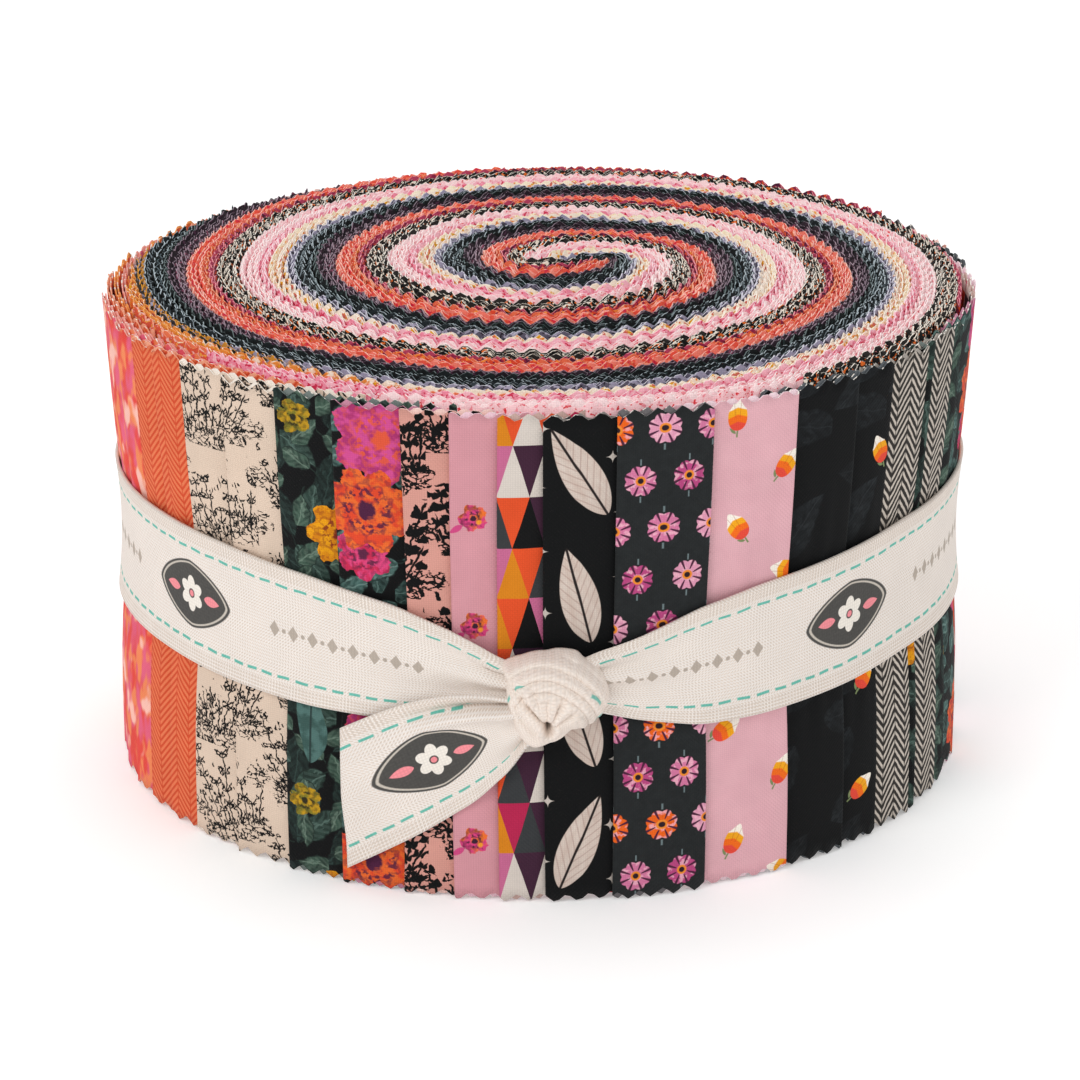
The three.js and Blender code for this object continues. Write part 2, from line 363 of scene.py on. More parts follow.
def chance(cell, seed):
    """A number from 0 to 1 of its own for each cell, a (column, row), of a repeat."""
    column, row = cell
    node = column.tree.nodes.new("ShaderNodeTexWhiteNoise")
    place = at_place(column + 0.5, row + 0.5, seed)
    return Amount(column.tree, fed(node, place).outputs["Value"])


def overprint(share, under, over, way="MIX"):
    """The over colour laid on the under one. At least one of the three must be an output of a node."""
    made = [part for part in (share, under, over) if not isinstance(part, (str, int, float))][0]
    tree = made.tree if isinstance(made, Amount) else made.id_data
    node = tree.nodes.new("ShaderNodeMixRGB")
    node.blend_type = way
    return fed(node, share, under, over).outputs["Color"]


def inked(colour, amount, soft, ink, share=1):
    """The ink printed on a colour where the amount is above 0, with an edge as soft as that."""
    return overprint(amount.filled(soft, share), colour, ink)


def pick(amount, colours):
    """One of the colours for each equal part of an amount from 0 to 1."""
    node = amount.tree.nodes.new("ShaderNodeValToRGB")
    node.color_ramp.interpolation = "CONSTANT"
    while len(node.color_ramp.elements) < len(colours):
        node.color_ramp.elements.new(1)
    for i, colour in enumerate(colours):
        node.color_ramp.elements[i].position = i / len(colours)
        node.color_ramp.elements[i].color = dye_colour(colour)
    return fed(node, amount).outputs["Color"]


THREAD = 0.27  # from one thread to the next
THREAD_STANDS = 0.03
COTTON_ROUGHNESS = 0.86
COTTON_SHEEN = 0.03
COTTON_GLOSS = 0.15
BY_FOLD = 52  # how far from a strip's fold its print's other colour may reach


def woven(along, across, pitch, other_pitch):
    """Threads over and under by turns, from -1 to 1."""
    return (along * (math.pi / pitch)).sine() * (across * (math.pi / other_pitch)).sine()


def cotton(name, painted, thread=THREAD, unevenness=0.18):
    """Plain-woven cotton. painted(along, across) gives its colour at a flat place."""
    material = bpy.data.materials.new(name)
    material.use_nodes = True
    tree = material.node_tree
    shader = tree.nodes["Principled BSDF"]
    flat = tree.nodes.new("ShaderNodeUVMap")
    flat.uv_map = "flat"
    parts = fed(tree.nodes.new("ShaderNodeSeparateXYZ"), flat.outputs["UV"])
    along = Amount(tree, parts.outputs["X"])
    across = Amount(tree, parts.outputs["Y"])
    colour = painted(along, across)
    over_under = woven(along, across, thread, thread)
    worn = (clouds(along, across, 5, 31) - 0.5) * unevenness + over_under.size() * 0.14 + 0.93
    shaded = overprint(1, colour, worn.output, "MULTIPLY")
    tree.links.new(shaded, shader.inputs["Base Color"])
    bump = tree.nodes.new("ShaderNodeBump")
    bump.inputs["Strength"].default_value = 0.5
    bump.inputs["Distance"].default_value = THREAD_STANDS * MM
    tree.links.new(over_under.output, bump.inputs["Height"])
    tree.links.new(bump.outputs["Normal"], shader.inputs["Normal"])
    shader.inputs["Roughness"].default_value = COTTON_ROUGHNESS
    shader.inputs["Sheen Weight"].default_value = COTTON_SHEEN
    shader.inputs["Specular IOR Level"].default_value = COTTON_GLOSS
    return material


def flecked(ground, flecks, size, cover, by_fold=None):
    """A print of small flecks in their own colours, covering that share of the ground. Near the
    strip's fold the ground may be of another colour."""
    def painted(along, across):
        colour = ground
        if by_fold:
            uneven = (clouds(along, across, 2.2, 17) - 0.5) * 60
            colour = inked(ground, BY_FOLD - along.size() + uneven, 4, by_fold)
        for i, fleck in enumerate(flecks):
            spots = patches(along, across, size * (1 + 0.3 * i), 3 + 7 * i, 0.72 - 0.35 * cover, 0.03, 1)
            colour = overprint(spots, colour, fleck)
        return colour
    return painted


NIGHT = ("#0F1213", ("#243231", "#15181A"), 0.4, "#171D1F")
# From the stack's inside to its outside: how many strips, the print's ground and flecks, how much of
# the ground these cover, the wrong side's colour and that of the raw cut edge. Three prints end with
# what these three colours are near the strip's fold.
STRIP_PRINTS = [
    (1, "#191818", ("#F0E6D8", "#E8702A"), 0.36, "#2A2725", "#F0E6DA"),
    (2, "#8E2344", ("#E0552E", "#4E1C36"), 0.5, "#B23F5C", "#F09AA2"),
    (2, "#D8462C", ("#8E2344", "#F08A3A"), 0.42, "#E26A4A", "#F7AE90"),
    (3, "#EA5542", ("#F58A62", "#D8344A"), 0.42, "#F07C6A", "#FDC4B6"),
    (1, "#F07C66", ("#F8B09A",), 0.4, "#F28A78", "#FCC8B8"),
    (3, "#2C1F28", ("#5E3E50", "#8E4A62"), 0.4, "#40303A", "#A8929E"),
    (2, "#1F151D", ("#432539",), 0.4, "#2E222B", "#8E7C88"),
    (1, *NIGHT, "#6E7C7C"),
    (1, *NIGHT, "#A6B4B8"),
    (1, *NIGHT, "#66747A"),
    (1, *NIGHT, "#B4C0C6"),
    (1, "#15181A", ("#343A3D",), 0.4, "#20272A", "#7C888E"),
    (1, "#15181A", ("#343A3D",), 0.4, "#3A4248", "#C2CCD2"),
    (2, "#5A5566", ("#2A2630", "#A9A4BA"), 0.42, "#9892A8", "#E0DDE8", "#3A3428", "#C8892E", "#D9962F"),
    (3, "#F5E0CC", ("#E8862A", "#DFA018", "#D2685A"), 0.42, "#F6E6D4", "#FDF4E8",
     "#D9652A", "#E58A3A", "#F2A65C"),
    (2, "#F8E6C4", ("#EFA046", "#F3B9B0"), 0.4, "#F8EAD2", "#FEF6E8", "#D9563C", "#E8744E", "#F4A487"),
    (3, "#F08CA2", ("#D22E50", "#F8BAC4"), 0.46, "#F7B6C2", "#FDE0E5"),
    (5, "#FBCBCF", ("#DC3F46", "#F08E98"), 0.26, "#FDDCDD", "#FFF2F0"),
    (3, "#151414", ("#F6ECDC", "#E8702A", "#151414"), 0.4, "#2B2725", "#FBF3E7"),
    (2, "#121212", ("#E8702A", "#F4E8D8"), 0.36, "#25211F", "#F0E4D4"),
]

rng = random.Random(7)
number = 0
for group, (count, ground, flecks, cover, wrong, cut, *by_fold) in enumerate(STRIP_PRINTS, 1):
    print_by_fold, wrong_by_fold, cut_by_fold = by_fold or (None, None, None)
    sides = [
        cotton(f"strip_print_{group:02d}", flecked(ground, flecks, 0.55, cover, print_by_fold)),
        cotton(f"strip_wrong_side_{group:02d}", flecked(wrong, (ground,), 1.2, 0.3, wrong_by_fold)),
        cotton(f"strip_cut_edge_{group:02d}", flecked(cut, (wrong,), 0.5, 0.4, cut_by_fold)),
    ]
    for strip_of_print in range(count):
        number += 1
        strip = wind_strip(number, sides, rng)
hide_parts("strip_roll")

# The strips' outer ends. Each strip's fold comes out at the roll's side, where it lies flat against
# the next and lapped by it, so the prints show side by side. An end is the last of its folded strip:
# two plies joined at the fold. The topmost, at the front, is turned under at both its edges.
END_CLOTH = 0.17
FOLD = 0.2  # half the distance between an end's two plies
FOLD_CLEAR = 0.45  # how far from a fold the even columns stop
EDGE_LIFT, COVERED_LIFT = 0.55, -0.2  # of an end's outer ply at its fold, and where it is lapped
SINKS = 0.03  # for each millimetre that it runs on under its neighbour
FIRST_END = math.radians(-76.6) * ROLL_RADIUS  # round the roll from its front, to the right
UNDER, LEFT_UNDER = 5.0, 20.0  # how far an end runs on under its neighbour
LEFT_FROM, LEFT_TO = -115, -22  # degrees from the front, where the ends run on so far
TOP_LEFT_PLY, TOP_RIGHT_PLY = 4, 3  # how far from the topmost end's right fold its under plies end
ENDS_ROWS = [2.2, 8, 14, 19, 22.5, 25, 28, 32, 36, 39, 41.5, 45, 50, 56, 61.3]
WAIST_HEIGHT, WAIST_REACH, FLARE_FROM = 32, 13, 40
END_LEAN, END_BOW, END_RAISED = 0.35, 0.3, 0.25  # how unevenly the ends lie
PUFF_LEAST, PUFF_MOST = 0.2, 0.36  # how far an end stands out between its edges, away from the tie
TIED_REACH = 11
RIPPLE, RIPPLE_RATE = 0.14, 1.9  # of the cloth drawn in above and below the tie
RIPPLES_OFF, RIPPLE_REACH = 10.5, 3.5  # from the tie's middle
BLACK, INK = "#0C0D0E", "#0B0B0C"


def hump(distance, reach):
    """1 where the distance is 0, falling softly to nothing at about twice that reach."""
    return np.exp(-(distance / reach) ** 2)


def side_shift(height):
    """The roll's side is drawn in where it is tied, and flares above."""
    flare = np.maximum(0, height - FLARE_FROM) / (STRIP_WIDTH - FLARE_FROM)
    return WAIST * hump(height - WAIST_HEIGHT, WAIST_REACH) + FLARE * flare ** 2


def on_side(azimuth, height, out, drawn_in=1.0):
    """Places that far out from the roll's side, following that share of its waist and flare."""
    radius = ROLL_RADIUS + out_of_round(azimuth) + side_shift(height) * drawn_in + out
    return np.stack([radius * np.sin(azimuth), -radius * np.cos(azimuth), height], axis=1)


def folded(place, shows, left_fold, right_fold):
    """How far round the roll, and how far out from between its plies, a flat place on an end lies."""
    turn = FOLD * math.pi / 2
    middle = shows / 2
    mirrored = right_fold & (place > middle)
    from_fold = np.where(mirrored, shows - place, place)
    bent = np.clip(from_fold, -turn, turn)
    across = FOLD * (1 - np.cos(bent / FOLD)) + np.abs(from_fold) - np.abs(bent)
    out = FOLD * np.sin(bent / FOLD)
    flat = ~(mirrored | (left_fold & (place <= middle)))
    across = np.where(flat, place, np.where(mirrored, shows - across, across))
    return across, np.where(flat, FOLD, out)


def lay_end(name, start, shows, laps, under, materials, print_start, rng):
    left_fold, right_fold = laps != "right", laps != "left"
    hidden = shows + under
    low_place = -hidden if left_fold else -under
    high_place = shows + hidden if right_fold else hidden
    if laps == "both":
        low_place, high_place = TOP_LEFT_PLY - shows, TOP_RIGHT_PLY + shows
    first_tooth = rng.uniform(0, TOOTH)
    corners = np.arange(low_place + 0.1 - first_tooth % 0.5, high_place, TOOTH / COLUMNS_A_TOOTH)
    turns = FOLD * math.pi / 2 * np.array([-1, -0.6, -0.2, 0.2, 0.6, 1])
    for fold_at, is_fold in ((0, left_fold), (shows, right_fold)):
        if is_fold:
            corners = corners[np.abs(corners - fold_at) > FOLD_CLEAR]
            corners = np.concatenate([corners, fold_at + turns])
    corners = np.sort(corners)
    lean, bow = rng.uniform(-END_LEAN, END_LEAN), rng.uniform(-END_BOW, END_BOW)
    raised = rng.uniform(-END_RAISED, END_RAISED)
    puff, ripple = rng.uniform(PUFF_LEAST, PUFF_MOST), rng.uniform(0, 2 * math.pi)

    def across(columns):
        beat = (columns + first_tooth) / TOOTH
        depth = TOOTH_DEPTH * np.abs(2 * (beat - np.floor(beat)) - 1)
        rows = [depth] + [np.full(len(columns), row) for row in ENDS_ROWS] + [STRIP_WIDTH - depth]
        return np.stack(rows, axis=1)

    def lie(flat_along, flat_across):
        place, out = folded(flat_along, shows, left_fold, right_fold)
        share = place / shows
        if laps == "right":
            share = 1 - share
        lift = EDGE_LIFT + (COVERED_LIFT - EDGE_LIFT) * share
        if laps == "both":
            lift = np.full(len(share), EDGE_LIFT)
        lift = lift - SINKS * np.maximum(0, share - 1) * shows
        tall = flat_across / STRIP_WIDTH
        in_view = np.clip(4 * share * (1 - share), 0, 1)
        from_tie = flat_across - WAIST_HEIGHT
        lift = lift + puff * in_view * np.sin(math.pi * tall) * (1 - hump(from_tie, TIED_REACH))
        by_tape = hump(np.abs(from_tie) - RIPPLES_OFF, RIPPLE_REACH)
        lift = lift + RIPPLE * in_view * by_tape * np.sin(place * RIPPLE_RATE + ripple)
        place = place + lean * (tall - 0.5) + bow * np.sin(math.pi * tall)
        places = on_side((start + place) / ROLL_RADIUS, flat_across, lift + out)
        places[:, 2] += raised * tall
        return places

    end = lay_cloth(name, corners, across, lie, materials, END_CLOTH, print_start)


def turned_about(along, across, angle):
    """The flat place in a motif's own directions, turned by an amount or a number of radians."""
    if isinstance(angle, Amount):
        sine, cosine = angle.sine(), angle.cosine()
    else:
        sine, cosine = math.sin(angle), math.cos(angle)
    return along * cosine + across * sine, across * cosine - along * sine


def in_cells(along, across, wide, tall, drop=0.5, seed=0, stray=0.0):
    """A repeat whose every other column is dropped: places from the cell's middle, and the cell."""
    column = (along / wide).whole()
    dropped = across + (column * 0.5).part() * 2 * drop * tall
    cell = (column, (dropped / tall).whole())
    x = along.within(wide)
    y = dropped.within(tall)
    if stray:
        x = x + (chance(cell, seed + 0.3) - 0.5) * stray
        y = y + (chance(cell, seed + 0.6) - 0.5) * stray
    return x, y, cell


def away(x, y):
    return (x * x + y * y).root()


def round_about(x, y):
    return y.reckon("ARCTAN2", x)


def leaf(x, y, length, width):
    """Above 0 inside a leaf that grows from its stalk at the middle up to a point."""
    share = (y / length).most(0).least(1)
    return share.power(0.7) * (1 - share) * (1.6 * width) - x.size() - 0.06


def petals(x, y, count, radius, depth):
    """Above 0 inside a blossom with round petals."""
    scallop = (round_about(x, y) * (count / 2)).sine().size()
    return scallop * depth + (radius - depth) - away(x, y)


def wash(along, across):
    colour = overprint(patches(along * 1.3, across * 0.6, 4, 1, 0.5, 0.08), "#E0483E", "#E0607E")
    colour = overprint(patches(along * 1.3, across * 0.6, 2.6, 4, 0.54, 0.07), colour, "#EC8656")
    return overprint(patches(along, across * 0.6, 3.6, 8, 0.6), colour, "#F6BEB0")


def herringbone(ground, thread, column, pitch, steep, ragged=0.0, dark=0.23):
    def painted(along, across):
        if ragged:
            across = across + (clouds(along, across, 1.2, 2) - 0.5) * ragged
        stripe = (across + along.zigzag(column) * steep).within(pitch).size()
        seam = along.within(column).size()
        drawn = (stripe - pitch * dark).filled(0.1) * (column * 0.5 - 0.07 - seam).filled(0.05)
        return overprint(drawn * 0.92 + 0.04, ground, thread)
    return painted


def sprigs(ground, ink, heavy=0.0):
    """Clumps of tall leafy stalks on scribbled ground, bushes and shaded banks, drawn in ink."""
    wide, high, stalk_pitch = 9.4, 13.2, 0.15

    def painted(along, across):
        wander = (clouds(along, across, 1.0, 6) - 0.5) * 1.1
        x, y, cell = in_cells(along, across, wide, high, drop=0.45, seed=1, stray=2.4)
        x, y = turned_about(x, y, (chance(cell, 1.8) - 0.5) * 0.6)
        x, y = x + wander, y + wander * 0.7
        from_root = y + 10
        fan = x / from_root
        stalk = ((fan / stalk_pitch).whole(), cell[0] + cell[1] * 3)
        side = fan.within(stalk_pitch) * from_root
        tall = chance(stalk, 2.1) * 8 - 1.5
        kind = chance(stalk, 4.7)
        cut = (tall - y).least(y + 4.4).least(3.9 - x.size())
        stalks = (0.11 + 0.06 * heavy - side.size()).least(cut)
        pitch = kind * 1.2 + 1.5
        step = ((y + tall) / pitch).part() * pitch - 0.4
        leaf_x, leaf_y = turned_about(side.size() + (x - y).sine() * 0.15, step, kind * 0.8 - 1.3)
        blade = leaf(leaf_x, leaf_y, 2.0 + 0.3 * heavy, 0.95 + 0.3 * heavy)
        outlined = (0.09 - (blade - 0.17).size()).most(blade.least((leaf_y * 11).sine() * 0.2 - 0.04))
        leaves = (outlined if heavy < 0.5 else blade).least(cut + 0.6)
        scribble = (clouds(along, across * 1.5, 1.1, 3, 3.0) - 0.5).size()
        curl = (0.035 + 0.025 * heavy - scribble) * 4
        bank = (1.7 - (y + 5).size() + wander).least(4.4 - x.size())
        hatch = ((along + across * 0.4 + wander) * 10).sine() * 0.4 - 0.12 + 0.3 * heavy
        shade = (clouds(along, across, 1.6, 12) - 0.58) * 5
        hatch = hatch.least(shade).least((bank + 0.5).most(2.4 - away(x, y * 0.5)))
        bush_x, bush_y, _ = in_cells(along + 4.6, across + 6.5, wide, high / 2, 0.45, seed=5, stray=2)
        bush = 1.7 - away(bush_x, bush_y * 1.2) + wander * 2
        drawing = stalks.most(leaves).most(curl.least(bank.most(bush))).most(hatch)
        return inked(ground, drawing, 0.05, ink)
    return painted


def leaf_layer(colour, along, across, size, seed, blade, vein, edge):
    smudge = clouds(along, across, 1.3, seed + 9) - 0.5
    x, y, cell = in_cells(along + seed * 2.7, across + seed * 4.1, size, size * 1.15,
                          seed=seed, stray=size * 0.4)
    x, y = turned_about(x, y, chance(cell, seed + 0.1) * (2 * math.pi))
    x, y = x + smudge * 0.9, y + smudge * 0.7
    shape = leaf(x + (y * 0.8).sine() * 0.25, y + size * 0.5, size * 1.05, size * 0.5)
    colour = inked(colour, shape + 0.14, 0.09, edge)
    body = overprint(patches(along, across, 1.3, seed + 4, 0.5, 0.14) * 0.75, blade, edge)
    body = overprint(patches(x * 1.6, y * 0.7, 1.1, seed + 6, 0.6) * 0.5, body, vein)
    ribs = (x.size() * 1.2 - y).within(size * 0.2).size() - size * 0.05
    body = inked(body, ribs, 0.1, vein, 0.16)
    body = inked(body, 0.09 - x.size(), 0.05, vein, 0.55)
    return inked(colour, shape, 0.08, body)


def big_blossom(colour, x, y, radius, light, deep, heart, seed, count):
    """A painted flower: ragged petals in two tones, darker blots between them and round the heart."""
    ragged = clouds(x, y, 0.9, seed) - 0.5
    shape = petals(x, y, count, radius, radius * 0.26) + ragged * 1.5
    far = away(x, y) / radius
    body = overprint(patches(x, y, 1.5, seed + 2, 0.5, 0.08), light, deep)
    inner = petals(x + 0.2, y - 0.2, count + 2, radius * 0.62, radius * 0.16) + ragged * 1.8
    body = inked(body, 0.2 - inner.size(), 0.15, heart, 0.45)
    blots = patches(x, y, 0.75, seed + 5, 0.53)
    ring = (0.13 - (far - 0.42).size()).filled(0.08) * blots
    between = ((far - 0.55) * 3 - shape * 0.5).filled(0.4) * (blots * 0.45)
    body = overprint(ring * 0.9, body, heart)
    body = overprint(between, body, heart)
    body = inked(body, 0.2 - far + ragged * 0.35, 0.05, heart)
    return inked(colour, shape, 0.07, body)


def garden(leaf_layers, blossoms, long_leaves=False):
    """A dark thicket of painted leaves. A row for each layer of leaves has their size, seed, blade,
    vein and edge; one for each flower has where it is, its repeat, drop and looks."""
    def painted(along, across):
        colour = BLACK
        for row in leaf_layers:
            colour = leaf_layer(colour, along, across, *row)
        if long_leaves:
            x, y, _ = in_cells(along + 4.4, across + 4, 16, 50)
            body = overprint(patches(x, y, 1.5, 16, 0.5, 0.1), "#4F706B", "#3A5651")
            body = inked(body, 0.12 - x.size(), 0.06, "#2A3A38")
            long_leaf = leaf(x + (y * 0.5).sine() * 0.5, y + 6, 12, 3.9)
            colour = inked(colour, long_leaf, 0.08, body)
        for at_along, at_across, wide, tall, drop, *looks in blossoms:
            x, y, _ = in_cells(along - at_along + wide / 2, across - at_across + tall / 2, wide, tall, drop)
            colour = big_blossom(colour, x, y, *looks)
        return colour
    return painted


night_garden = garden([
    (7.0, 1, "#1E2A27", "#364A45", "#111817"),
    (6.2, 2, "#2C3F38", "#5E776E", "#1B2622"),
    (4.6, 3, "#3D5448", "#74897A", "#202C27"),
], [
    (2.8, 60, 12, 50, 0.5, 2.3, "#B98F1E", "#7C7426", "#2E2A18", 5, 5),
    (8.2, 45.4, 17, 48, 0.5, 4.4, "#E39A12", "#CF7F10", "#7C2A18", 3, 7),
], long_leaves=True)
bright_garden = garden([
    (6.0, 4, "#2B423E", "#5C7872", "#141D1C"),
    (5.0, 6, "#41605B", "#789690", "#212E2B"),
], [
    (3.5, 43.8, 17, 50, 0.4, 3.6, "#D8457A", "#C42A50", "#5A2340", 7, 6),
    (6.2, 58.8, 17, 36, 0.2, 6.2, "#CB4C8C", "#A8336B", "#D9553A", 9, 6),
    (4.2, 49.6, 17, 46, 0.3, 5.7, "#E5692E", "#D8472A", "#4B1E3C", 2, 8),
])


def posies(along, across):
    x, y, _ = in_cells(along + 1.5, across, 8.2, 14.5, drop=0.5, seed=2, stray=2)
    leaf_x, leaf_y = turned_about(x + 1.2, y + 0.9, 2.2)
    colour = inked("#CF929B", leaf(leaf_x, leaf_y, 2.0, 0.9), 0.06, "#C9487E")
    colour = big_blossom(colour, x, y, 1.75, "#E8702E", "#D23F7A", "#3A2030", 4, 5)
    return inked(colour, 0.3 - away(x - 0.6, y + 0.5), 0.12, "#E9962E")


def harlequin(along, across):
    """Rows of triangles, base to base and point to point."""
    tall, wide = 6.6, 3.75
    row = (across / tall).whole()
    climb = (across / tall).part() * 0.5
    shifted = along / wide + (row * 0.5).part()
    from_left = (shifted - climb).whole()
    from_right = (shifted + climb).whole()
    upright = pick(chance((from_left, row), 4), [
        "#D2C8BF", "#0E0E0F", "#37393B", "#0E0E0F", "#D2C8BF", "#D27F1A", "#0E0E0F", "#D2C8BF"])
    upside_down = pick(chance((from_right, row), 9), [
        "#DB4F27", "#3F2235", "#C0668C", "#B0244C", "#DB4F27", "#3F2235", "#C0668C"])
    return inked(upright, from_right - from_left - 0.5, 0.01, upside_down)


def tall_leaves(along, across):
    """Large cream leaves on black, leaning this way and that, with small stars between them."""
    x, y, cell = in_cells(along, across, 8.6, 16, drop=0.5, seed=6)
    x, y = turned_about(x, y, (chance(cell, 6.2) - 0.5) * 1.1)
    tone = overprint(clouds(x * 3, y, 2.4, 4), "#D9CEC4", "#BFA79A")
    ribs = (y - x.size() * 1.6).within(1.5).size() - 0.6
    tone = inked(tone, ribs, 0.08, "#A98D83", 0.55)
    tone = inked(tone, 0.16 - x.size(), 0.06, "#26201F")
    colour = inked(BLACK, leaf(x, y + 6.6, 13.2, 4.6), 0.06, tone)
    x, y, _ = in_cells(along + 4.3, across + 6, 8.6, 8, drop=0.5, seed=8, stray=1.5)
    star = 0.95 - x.size().root() - y.size().root()
    return inked(colour, star, 0.05, "#C9BFB6", 0.9)


def dot_blossoms(along, across):
    """Round scalloped blossoms on charcoal, pink and orange by turns, each with its small sprout."""
    ground = overprint(clouds(along, across, 1, 3), "#1D1F20", "#282B2C")
    y, x, cell = in_cells(across, along, 6.4, 5.75, drop=0.5, seed=12, stray=0.35)
    body = pick(chance(cell, 12.5), [
        "#CE749A", "#DA95AF", "#B94C84", "#E5611A", "#CE749A", "#D884A6", "#B3467B"])
    body = overprint(patches(along, across, 0.9, 14, 0.55, 0.06) * 0.7, body, "#F0B7C6")
    far = away(x, y)
    spokes = ((round_about(x, y) * 4).sine().size() - 0.93).filled(0.06) * (far - 0.75).filled(0.1)
    body = overprint(spokes, body, "#4A2038")
    body = inked(body, 0.62 - far, 0.07, "#E9892E")
    body = inked(body, 0.36 - far, 0.07, "#2A1A22")
    sprout = (0.09 - x.size()).least(y.size() - 2.0).least(2.75 - y.size())
    colour = inked(ground, sprout, 0.05, "#8FA3A6", 0.5)
    return inked(colour, petals(x, y, 8, 1.98, 0.28), 0.06, body)


def buds(ground, wide, tall, seed):
    """Small tulip buds, sparse and turned this way and that, coloured in bands from stalk to tip."""
    bands = ["#E24A3A", "#EE6B1B", "#EFA51E", "#F5EDE0"]

    def painted(along, across):
        x, y, cell = in_cells(along, across, wide, tall, seed=seed, stray=1.6)
        x, y = turned_about(x, y, (chance(cell, seed + 0.8) - 0.5) * 2.6)
        cup = 1 - (x / 1.25).size().power(2.2) - ((y + 0.5) / 1.75).size().power(2.2)
        points = (x.size() * 2.6).cosine() * 0.55 - x.size() * 0.25 + 1.25 - y
        shape = cup.most((1.15 - x.size() - y * 0.12).least(y + 0.5)).least(points)
        body = bands[0]
        for step, band in enumerate(bands[1:], 1):
            rim = y + 2.0 - 3.6 * step / len(bands) + x.size() * 0.35
            body = inked(body, rim, 0.1, band)
        petal_line = (0.05 - (x.size() - 0.32 - y * 0.1).size()).least(y + 0.6)
        body = inked(body, petal_line, 0.05, "#A8421E", 0.45)
        stalk = (0.11 - (x + (y * 1.5).sine() * 0.1).size()).least(-1.9 - y).least(y + 3.1)
        small_leaf = leaf(x * 0.7 + y * 0.7 + 2.0, y * 0.7 - x * 0.7 + 1.7, 1.3, 0.6)
        green = stalk.most(small_leaf - 0.04)
        colour = inked(ground(along, across), green, 0.05, "#7C8A5E")
        return inked(colour, shape, 0.06, body)
    return painted


def tonal_leaves(along, across):
    colour = leaf_layer(BLACK, along, across, 9.5, 5, "#1B1E20", "#2C3033", "#101214")
    return overprint(patches(along, across, 7, 9, 0.5, 0.2) * 0.5, colour, BLACK)


def plain_pink(along, across):
    return overprint(clouds(along, across, 3, 2), "#DAA5AE", "#E0AFB6")


prints = {  # what paints each, and the colour of its wrong side
    "wash": (wash, "#EFA498"),
    "coral_herringbone": (herringbone("#CC4828", "#E27850", 2.3, 0.95, 1.1), "#EFA182"),
    "cream_sprigs": (sprigs("#D9C3B0", INK), "#F6EBDF"),
    "night_garden": (night_garden, "#76807C"),
    "bright_garden": (bright_garden, "#C98AA0"),
    "salmon_sprigs": (sprigs("#D1968A", INK, heavy=1.0), "#F5CFC6"),
    "posies": (posies, "#EFC9D4"),
    "harlequin": (harlequin, "#C9A9A0"),
    "tall_leaves": (tall_leaves, "#8B8581"),
    "dot_blossoms": (dot_blossoms, "#6E6A6C"),
    "pink_buds": (buds(plain_pink, 7.4, 13.5, 21), "#F3D8DF"),
    "tonal_leaves": (tonal_leaves, "#5C6165"),
    "tonal_buds": (buds(tonal_leaves, 9, 15, 26), "#5C6165"),
    "black_herringbone": (herringbone("#0E0D0D", "#CFC4B8", 2.3, 1.25, 1.3, 0.5, 0.29), "#A9A29A"),
    "teal_garden": (night_garden, "#5E7A74"),
    "orange_flecks": (flecked("#D95F2B", ("#DF8A2C", "#CB4A34"), 0.7, 0.4), "#EE9A55"),
}
# From the roll's left round its front to its right: how much of the end shows, the side on which it
# laps its neighbour, its print, and where on the print it starts.
FRONT_ENDS = [
    (6.0, "left", "wash", (0, 0)),
    (6.2, "left", "wash", (13, 7)),
    (5.8, "left", "coral_herringbone", (0.5, 0)),
    (6.3, "left", "coral_herringbone", (1.7, 0)),
    (8.0, "left", "cream_sprigs", (0, 0)),
    (8.5, "left", "cream_sprigs", (4.5, 21)),
    (8.0, "left", "night_garden", (0, 0)),
    (8.5, "left", "bright_garden", (0, 0)),
    (6.2, "left", "salmon_sprigs", (3, 5)),
    (5.6, "left", "posies", (0, 0)),
    (5.4, "left", "harlequin", (0, 0)),
    (8.4, "left", "tall_leaves", (0, 0)),
    (11.7, "both", "dot_blossoms", (0, 0)),
    (11.7, "right", "pink_buds", (0, 0)),
    (9.7, "right", "tonal_leaves", (0, 0)),
    (6.7, "right", "tonal_buds", (0, 0)),
    (8.3, "right", "black_herringbone", (0, 0)),
    (1.8, "right", "night_garden", (9, 3)),
    (6.8, "right", "black_herringbone", (0.6, 0)),
    (4.0, "right", "teal_garden", (3, 8)),
    (8.0, "right", "bright_garden", (5, 2)),
]
SIX = ["harlequin", "pink_buds", "tonal_leaves", "salmon_sprigs", "dot_blossoms", "coral_herringbone"]
BACK_PRINTS = [  # from the right round the back to the left
    *SIX, "night_garden", "cream_sprigs", "tall_leaves", "wash", "posies", "bright_garden",
    *SIX, "orange_flecks", "wash", "orange_flecks", "coral_herringbone", "wash",
]
back_shows = (2 * math.pi * ROLL_RADIUS - sum(row[0] for row in FRONT_ENDS)) / len(BACK_PRINTS)
all_ends = list(FRONT_ENDS)
for print_name in BACK_PRINTS:
    print_start = (rng.uniform(0, 12), rng.uniform(0, 20))
    all_ends.append((back_shows, "left", print_name, print_start))

cloths = {}
for print_name, (painted, wrong) in prints.items():
    cloths[print_name] = [
        cotton(f"{print_name}_print", painted),
        cotton(f"{print_name}_wrong_side", flecked(wrong, (wrong,), 2, 0.2)),
        cotton(f"{print_name}_cut_edge", flecked(wrong, ("#F4EEE6",), 0.6, 0.4)),
    ]
start = FIRST_END
for i, (shows, laps, print_name, print_start) in enumerate(all_ends, 1):
    middle = (math.degrees((start + shows / 2) / ROLL_RADIUS) + 180) % 360 - 180
    under = LEFT_UNDER if LEFT_FROM < middle < LEFT_TO else UNDER
    lay_end(f"outer_end_{i:02d}", start, shows, laps, under, cloths[print_name], print_start, rng)
    start += shows

